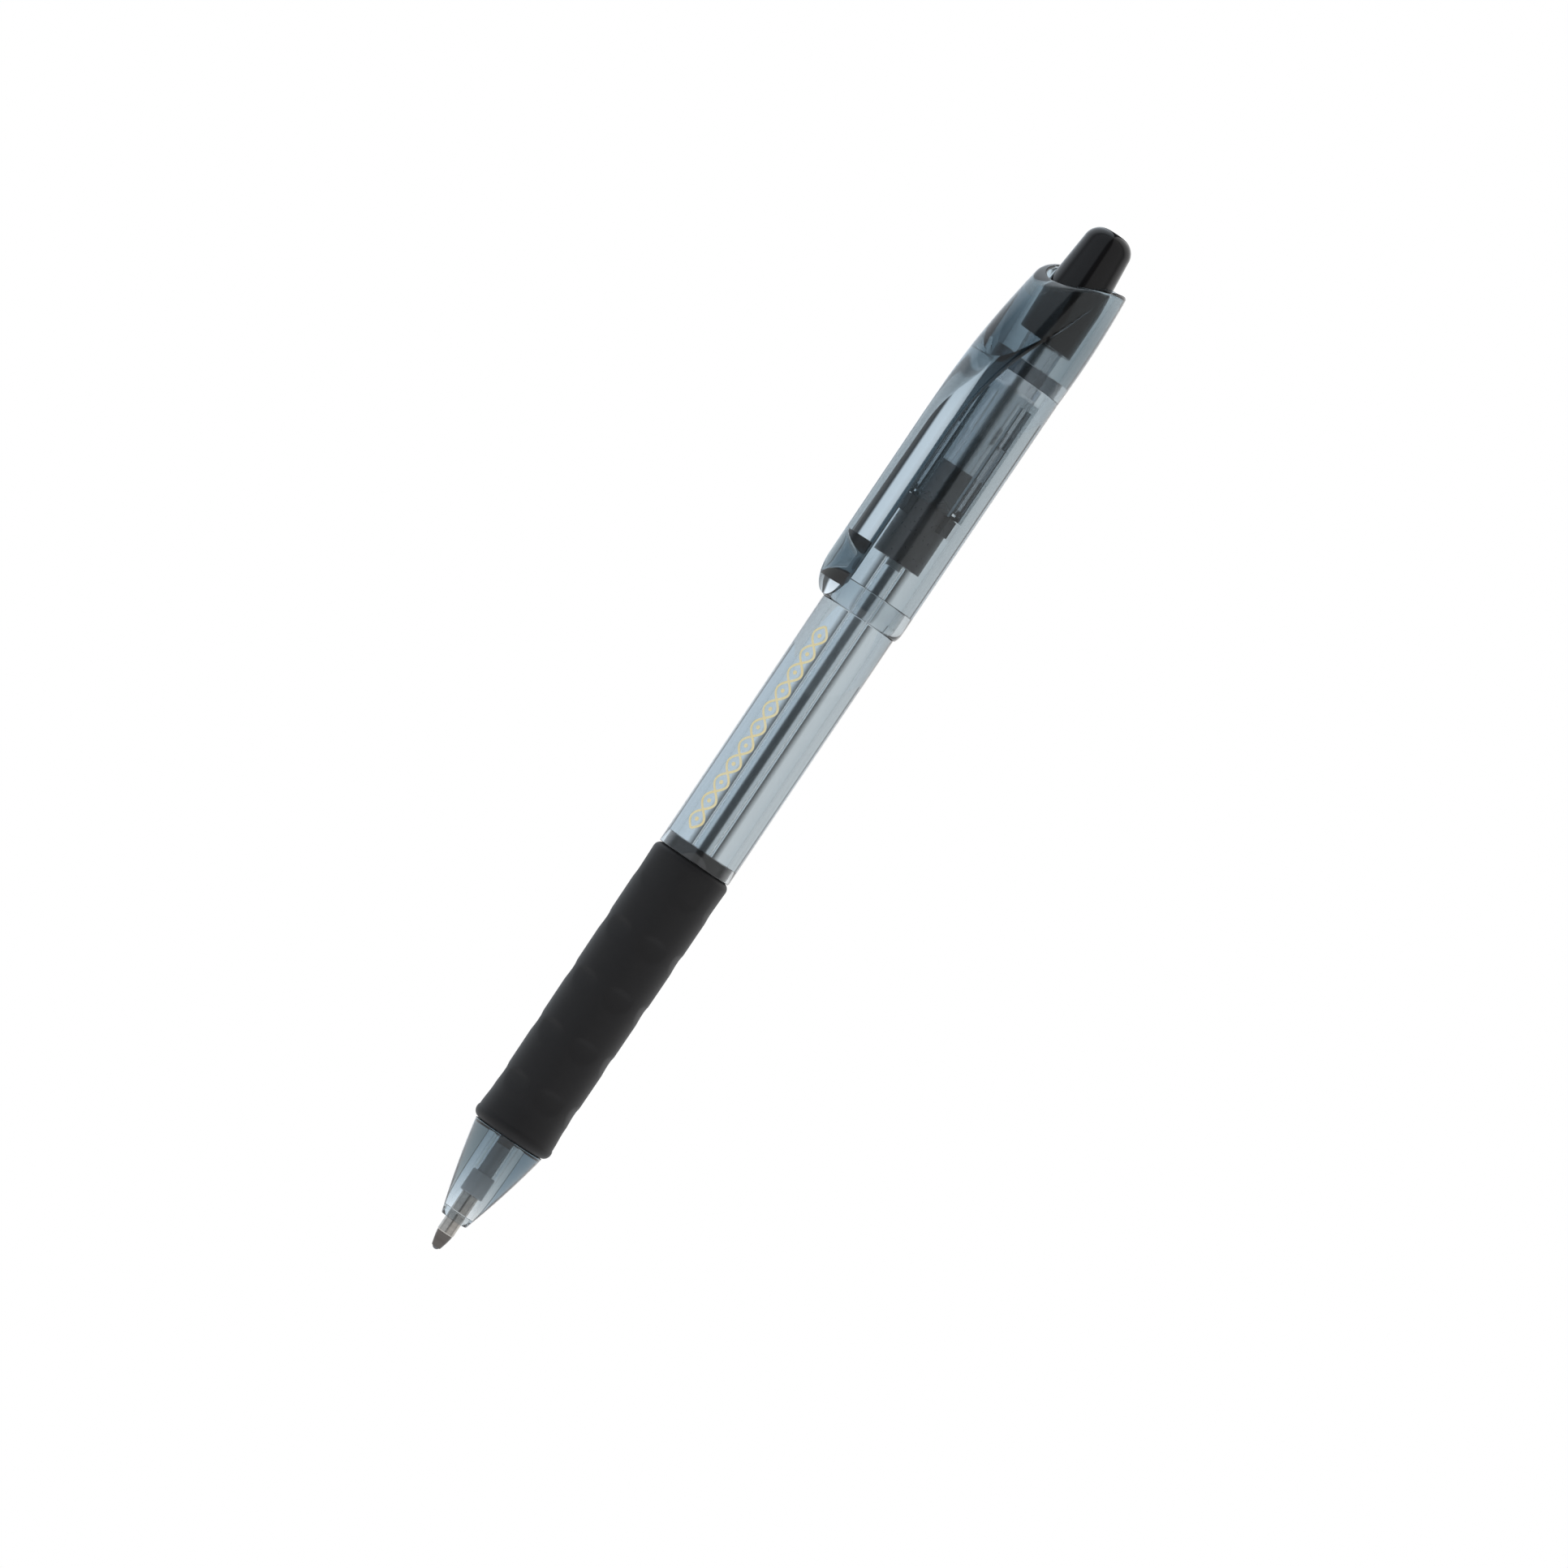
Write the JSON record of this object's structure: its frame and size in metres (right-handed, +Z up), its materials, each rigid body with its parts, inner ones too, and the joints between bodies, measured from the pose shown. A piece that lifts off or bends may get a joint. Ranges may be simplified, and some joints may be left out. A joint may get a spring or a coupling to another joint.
{
  "type": "retractable pen",
  "caption": "Click pen with a clear smoke barrel, dimpled black rubber grip, broad moulded clip, black push button and a replaceable refill with a metal point.",
  "frame": {"origin": "lowest point of the writing ball, on the pen's axis, with the point out", "axes": "+Z up the pen's axis from the point to the push button, +X towards the clip"},
  "size_m": [0.0135, 0.0112, 0.1429],
  "materials": {
    "clear_shell": "clear smoke blue, polished",
    "clear_cap": "clear smoke blue, polished",
    "clear_guide": "clear smoke, polished",
    "grip_rubber": "matt black rubber",
    "black_gloss": "black, polished",
    "smoke_plastic": "dark smoke, semi-gloss",
    "dark_plastic": "dark grey acetal",
    "milky_tube": "milky translucent",
    "ink": "black ink",
    "grease": "clear yellowish grease",
    "milky_plug": "natural white",
    "grey_plastic": "grey translucent",
    "point_metal": "turned nickel silver",
    "ball_metal": "ground carbide",
    "spring_steel": "drawn wire"
  },
  "bodies": {
    "shell": {"nose_cone": "clear_shell", "rubber_grip": "grip_rubber", "barrel": "clear_shell", "mechanism_housing": "clear_shell", "clip_cap": "clear_cap", "cam_guide": "clear_guide", "return_spring": "spring_steel"},
    "button": {"push_button": "black_gloss", "thrust_tube": "smoke_plastic"},
    "refill": {"refill_tube": "milky_tube", "ink_column": "ink", "ink_follower": "grease", "tail_plug": "milky_plug", "tip_holder": "grey_plastic", "point_socket": "point_metal"},
    "rotor": {"rotor_cam": "dark_plastic"},
    "ball": {"writing_ball": "ball_metal"}
  },
  "joints": [
    {"name": "button_slide", "type": "slide", "parent": "shell", "child": "button", "axis": [0, 0, 1], "range_m": [-0.001, 0.005]},
    {"name": "refill_slide", "type": "slide", "parent": "shell", "child": "refill", "axis": [0, 0, 1], "range_m": [-0.001, 0.005], "deforming": ["return_spring"]},
    {"name": "rotor_turn", "type": "hinge", "parent": "refill", "child": "rotor", "pos_m": [0, 0, 0.1], "axis": [0, 0, 1], "continuous": true},
    {"name": "ball_roll", "type": "hinge", "parent": "refill", "child": "ball", "pos_m": [0, 0, 0.0005], "axis": [1, 0, 0], "continuous": true}
  ],
  "couplings": [
    {"joint": "refill_slide", "follows": "button_slide", "ratio": 1}
  ]
}
